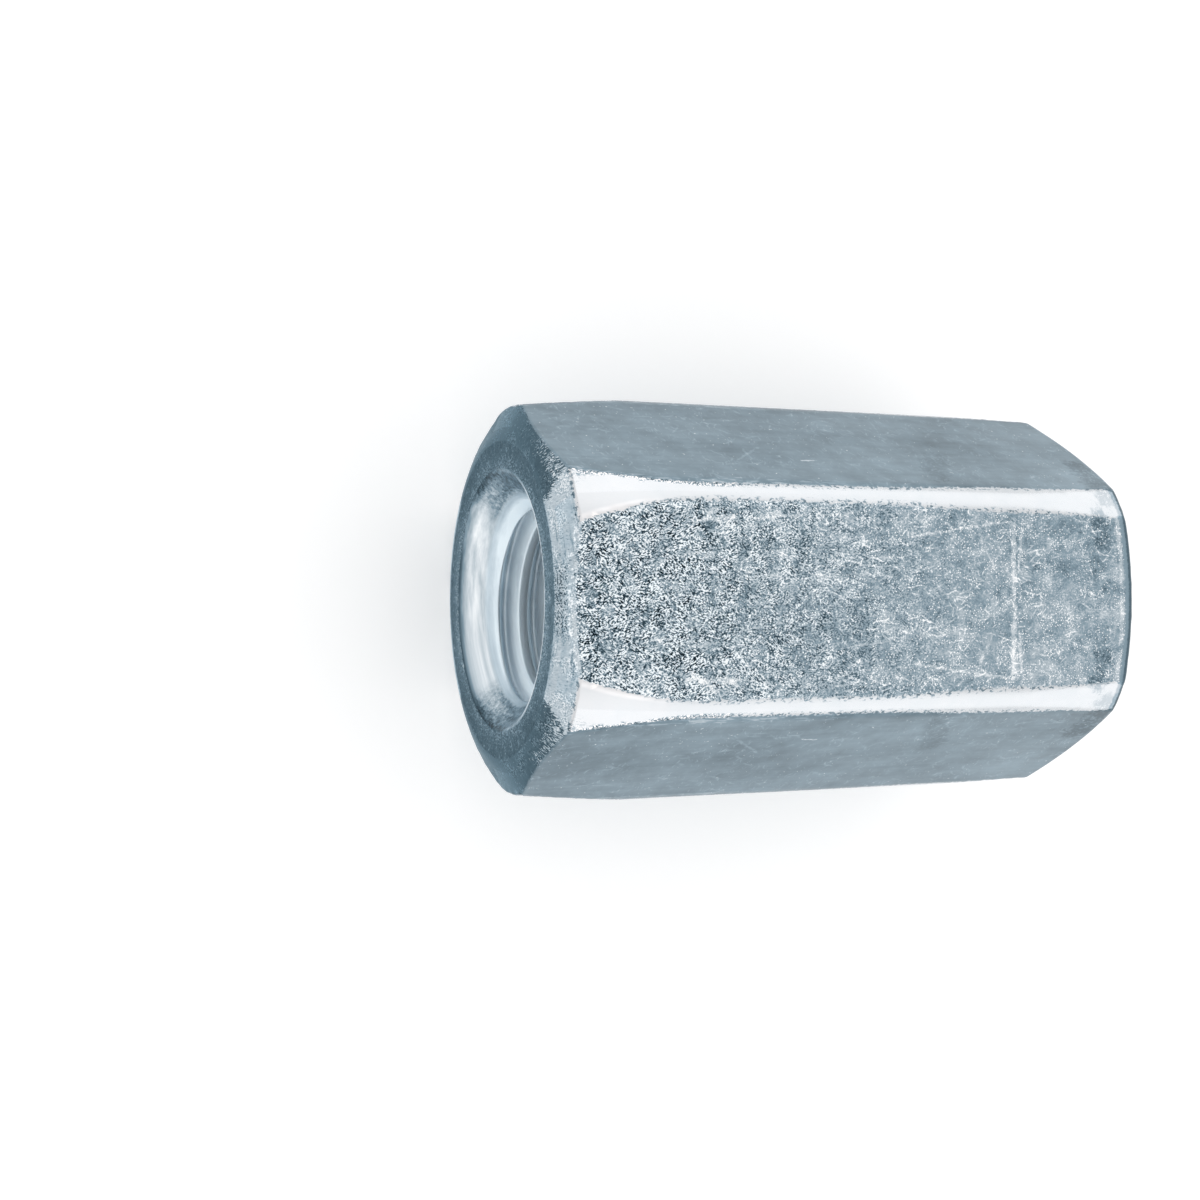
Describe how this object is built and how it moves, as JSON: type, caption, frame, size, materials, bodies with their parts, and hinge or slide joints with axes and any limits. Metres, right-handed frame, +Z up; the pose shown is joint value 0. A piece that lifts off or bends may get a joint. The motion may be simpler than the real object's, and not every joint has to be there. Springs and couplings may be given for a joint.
{
  "type": "coupling nut",
  "caption": "Long hexagonal coupling nut of zinc-plated steel, chamfered at both ends, with one thread all the way through to join threaded rods end to end.",
  "frame": {"origin": "under the middle of the nut, on the surface that its lower flat rests on", "axes": "+X along the thread, +Z up, square to the upper and lower flats, +Y towards a long corner"},
  "size_m": [0.03, 0.019, 0.017],
  "materials": {
    "zinc_plate": "bright zinc plate with a blue-grey tone, rough on the end faces, finely scratched on the flats"
  },
  "bodies": {
    "root": {"coupling_nut": "zinc_plate"}
  },
  "joints": []
}
